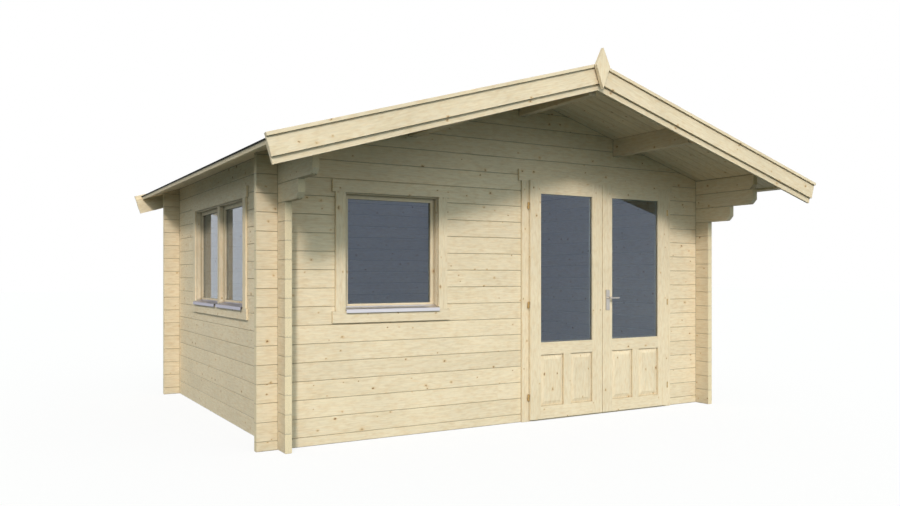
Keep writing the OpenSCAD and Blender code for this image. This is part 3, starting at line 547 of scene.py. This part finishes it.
def floor_deck():
    """Floor boards across the joists, with eased edges."""
    gap = 0.0004
    ease = 0.002
    far = deck_pitch - gap
    low = deck_lo[2]
    top = deck_hi[2]
    section = [(gap, low), (far, low), (far, top - ease), (deck_pitch - ease, top), (ease, top),
               (gap, top - ease)]
    verts = [(x, y, z) for x in (deck_lo[0], deck_hi[0]) for y, z in section]
    board = mesh_piece("floor_deck", verts, loft_faces(2, len(section)), deck)
    lay_row(board, DECK_BOARDS, (0.0, deck_lo[1], 0.0), (0.0, deck_pitch, 0.0), deck)
    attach(board, "house")
    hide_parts("floor_boards")


roof_slope(-1, soffit_left, "left_roof_boards")
roof_slope(1, soffit_right, "right_roof_boards")
floor_deck()


# Roofing felt, nails and screws

FELT_N = BOARD_T + SEAT
FELT_TOP = FELT_N + FELT_T
FELT_FOLD = 0.010
FELT_STRIP = 0.87
FELT_CUT = 0.0005
LAP_W = 0.10
LAP_BEND = 0.03
RIDGE_STRIP = 0.20
NAIL_IN = 0.025
NAIL_PITCH = 0.075
NAIL_MARGIN = 0.06
# lower edges of the felt's upper strips, down the slope from the ridge
lap_edges = [RIDGE_STRIP, roof_s - 2 * FELT_STRIP, roof_s - FELT_STRIP]


def felt_top(y):
    """Top of the felt from the ridge to the eaves fold as (s, n); each strip lies over the one below it."""
    double = FELT_TOP + FELT_T
    points = [(-double * math.tan(SLOPE), double)]
    for k, edge in enumerate(lap_edges):
        # the edge was cut by hand and wanders by up to 5 mm
        cut = edge + 0.003 * math.sin(5.1 * y + 2.0 * k) + 0.002 * math.sin(13.7 * y + k)
        if k:
            points += [(cut - LAP_W - LAP_BEND, FELT_TOP), (cut - LAP_W, double)]
        points += [(cut, double), (cut + FELT_CUT, FELT_TOP)]
    end = roof_s + SEAT
    return points + [(end + FELT_T, FELT_TOP), (end + FELT_T, FELT_TOP - FELT_FOLD),
                     (end, FELT_TOP - FELT_FOLD), (end, FELT_N)]


def roofing_felt():
    """Strips of felt along the ridge, lapped down the slopes and folded over the eaves."""
    stations = 60
    under_ridge = (-FELT_N * math.tan(SLOPE), FELT_N)
    verts = []
    for k in range(stations + 1):
        y = roof_lo[1] + (roof_hi[1] - roof_lo[1]) * k / stations
        top = felt_top(y)
        ring = [on_slope(1, *point) for point in top] + [on_slope(1, *under_ridge)]
        ring += [on_slope(-1, *point) for point in reversed(top[1:])]
        verts += [(x, y, z) for x, z in ring]
    sheet = mesh_piece("roofing_felt", verts, loft_faces(stations + 1, len(ring)), felt)
    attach(sheet, "house")
    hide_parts("roof_felt")


def turned(profile, sides, place):
    """A small turned head as (vertices, faces).

    profile gives (radius, height), and place maps (u, v, h) to a point.
    """
    verts = []
    for radius, height in profile:
        for k in range(sides):
            angle = 2 * math.pi * k / sides
            verts.append(place(radius * math.cos(angle), radius * math.sin(angle), height))
    return verts, loft_faces(len(profile), sides)


def joined(parts):
    """Several (vertices, faces) as one."""
    verts, faces = [], []
    for more_verts, more_faces in parts:
        faces += [tuple(len(verts) + k for k in face) for face in more_faces]
        verts += more_verts
    return verts, faces


def felt_nails():
    """Clout nails 75 mm apart along every lap of the felt."""
    profile = [(0.0045, -0.0005), (0.0048, 0.0006), (0.0030, 0.0013), (0.0010, 0.0016)]
    heads = []
    for side in (-1, 1):
        for edge in lap_edges:
            row_s = edge - NAIL_IN

            def place(u, v, h):
                x, z = on_slope(side, row_s + u, FELT_TOP + FELT_T + h)
                return (x, v, z)

            heads.append(turned(profile, 8, place))
    count = int((roof_hi[1] - roof_lo[1] - NAIL_MARGIN) / NAIL_PITCH) + 1
    start = (roof_lo[1] + roof_hi[1] - (count - 1) * NAIL_PITCH) / 2
    nails = mesh_piece("felt_nails", *joined(heads), clouts)
    lay_row(nails, count, (0.0, start, 0.0), (0.0, NAIL_PITCH, 0.0), clouts)
    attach(nails, "house")


def plate_screws():
    """A screw at the top and the bottom of each handle plate, with a round drive recess."""
    low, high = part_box("door_handle_plates")
    inset = 0.012
    cylinder_out = 0.002
    x = (low[0] + high[0]) / 2
    profile = [(0.0040, -0.0003), (0.0040, 0.0002), (0.0034, 0.0008), (0.0018, 0.0009), (0.0016, 0.0001),
               (0.0002, 0.0001)]
    heads = [turned(profile, 16, lambda u, v, h: (x + u, low[1] + cylinder_out - h, v)),
             turned(profile, 16, lambda u, v, h: (x + u, high[1] - cylinder_out + h, v))]
    screws = mesh_piece("handle_plate_screws", *joined(heads), satin)
    lay_row(screws, 2, (0.0, 0.0, low[2] + inset), (0.0, 0.0, high[2] - low[2] - 2 * inset), satin)
    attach(screws, "right_leaf")


roofing_felt()
felt_nails()
plate_screws()


# Stage, light and camera

# the way the key light travels
KEY_WAY = Vector((0.452, 0.759, -0.469))
FLOOR_R = 60.0
FLOOR_Z = -0.001
# the camera's place, with its y from the front wall's face, and its turn from looking along +Y
EYE = (-3.989, -5.5287, 1.2435)
EYE_TURN = -0.5351


def seen_directly(tree):
    """1 for rays from the camera, mirrors and glass, 0 for the light that falls on the object."""
    path = add(tree, "ShaderNodeLightPath").outputs
    mirror = add(tree, "ShaderNodeMath", {0: path["Is Camera Ray"], 1: path["Is Glossy Ray"]},
                 operation="MAXIMUM").outputs[0]
    return add(tree, "ShaderNodeMath", {0: mirror, 1: path["Is Transmission Ray"]},
               operation="MAXIMUM").outputs[0]


def studio_floor():
    """A floor that looks white, keeps a faint shadow, and throws little light back up."""
    material, tree = new_material("studio floor")
    seen = seen_directly(tree)
    colour = add(tree, "ShaderNodeMix", {0: seen, 6: linear("#2A4446"), 7: (0.97, 0.97, 0.97, 1.0)},
                 data_type="RGBA").outputs[2]
    matt = add(tree, "ShaderNodeBsdfDiffuse", {"Color": colour}).outputs[0]
    white = add(tree, "ShaderNodeEmission", {"Strength": 1.0}).outputs[0]
    part = add(tree, "ShaderNodeMath", {0: seen, 1: 0.85}, operation="MULTIPLY").outputs[0]
    surface = add(tree, "ShaderNodeMixShader", {0: part, 1: matt, 2: white}).outputs[0]
    add(tree, "ShaderNodeOutputMaterial", {0: surface})
    corners = [(-FLOOR_R, -FLOOR_R, FLOOR_Z), (FLOOR_R, -FLOOR_R, FLOOR_Z),
               (FLOOR_R, FLOOR_R, FLOOR_Z), (-FLOOR_R, FLOOR_R, FLOOR_Z)]
    floor = mesh_piece("studio_floor", corners, [(0, 1, 2, 3)], material)


def studio_light():
    """Soft light from all round, a soft box and a key light from the front left, before a white backdrop."""
    world = bpy.data.worlds.new("studio")
    world.use_nodes = True
    tree = world.node_tree
    tree.nodes.clear()
    # the soft light comes from the front and the right; the left is dimmer
    ray = add(tree, "ShaderNodeTexCoord").outputs["Generated"]
    toward = add(tree, "ShaderNodeSeparateXYZ", {0: ray}).outputs
    side = add(tree, "ShaderNodeMapRange", {0: toward["X"], 1: -0.9, 2: 0.3, 3: 0.4, 4: 0.8},
               interpolation_type="SMOOTHSTEP").outputs[0]
    ahead = add(tree, "ShaderNodeMapRange", {0: toward["Y"], 1: -1.0, 2: 0.2, 3: 1.42, 4: 0.95},
                interpolation_type="SMOOTHSTEP").outputs[0]
    even = add(tree, "ShaderNodeMath", {0: side, 1: ahead}, operation="MULTIPLY").outputs[0]
    # a wide soft box round the key light
    nearness = add(tree, "ShaderNodeVectorMath", {0: ray, 1: -KEY_WAY},
                   operation="DOT_PRODUCT").outputs["Value"]
    box = add(tree, "ShaderNodeMapRange", {0: nearness, 1: 0.55, 2: 1.0, 3: 0.0, 4: 0.6},
              interpolation_type="SMOOTHSTEP").outputs[0]
    strength = add(tree, "ShaderNodeMath", {0: even, 1: box}, operation="ADD").outputs[0]
    soft = add(tree, "ShaderNodeBackground", {"Color": linear("#E8F4F2"), "Strength": strength}).outputs[0]
    white = add(tree, "ShaderNodeBackground", {"Color": (1.0, 1.0, 1.0, 1.0), "Strength": 1.0}).outputs[0]
    both = add(tree, "ShaderNodeMixShader", {0: seen_directly(tree), 1: soft, 2: white}).outputs[0]
    add(tree, "ShaderNodeOutputWorld", {0: both})
    bpy.context.scene.world = world
    sun = bpy.data.lights.new("key", "SUN")
    sun.energy = 2.03
    sun.color = (1.0, 0.925, 0.86)
    sun.angle = math.radians(8)
    lamp = bpy.data.objects.new("key", sun)
    lamp.rotation_euler = KEY_WAY.to_track_quat("-Z", "Y").to_euler()
    bpy.context.collection.objects.link(lamp)


def photo_camera():
    """The photo's camera, level, as fitted to its vanishing points and log joints."""
    camera = bpy.data.cameras.new("camera")
    camera.lens = 32.08
    camera.sensor_width = 36.0
    camera.shift_y = 0.0245
    camera.clip_end = 300.0
    view = bpy.data.objects.new("camera", camera)
    view.location = (EYE[0], EYE[1] + front_wall_y, EYE[2])
    view.rotation_euler = (math.pi / 2, 0.0, EYE_TURN)
    bpy.context.collection.objects.link(view)
    bpy.context.scene.camera = view


studio_floor()
studio_light()
photo_camera()
bpy.context.scene.view_settings.view_transform = "Standard"
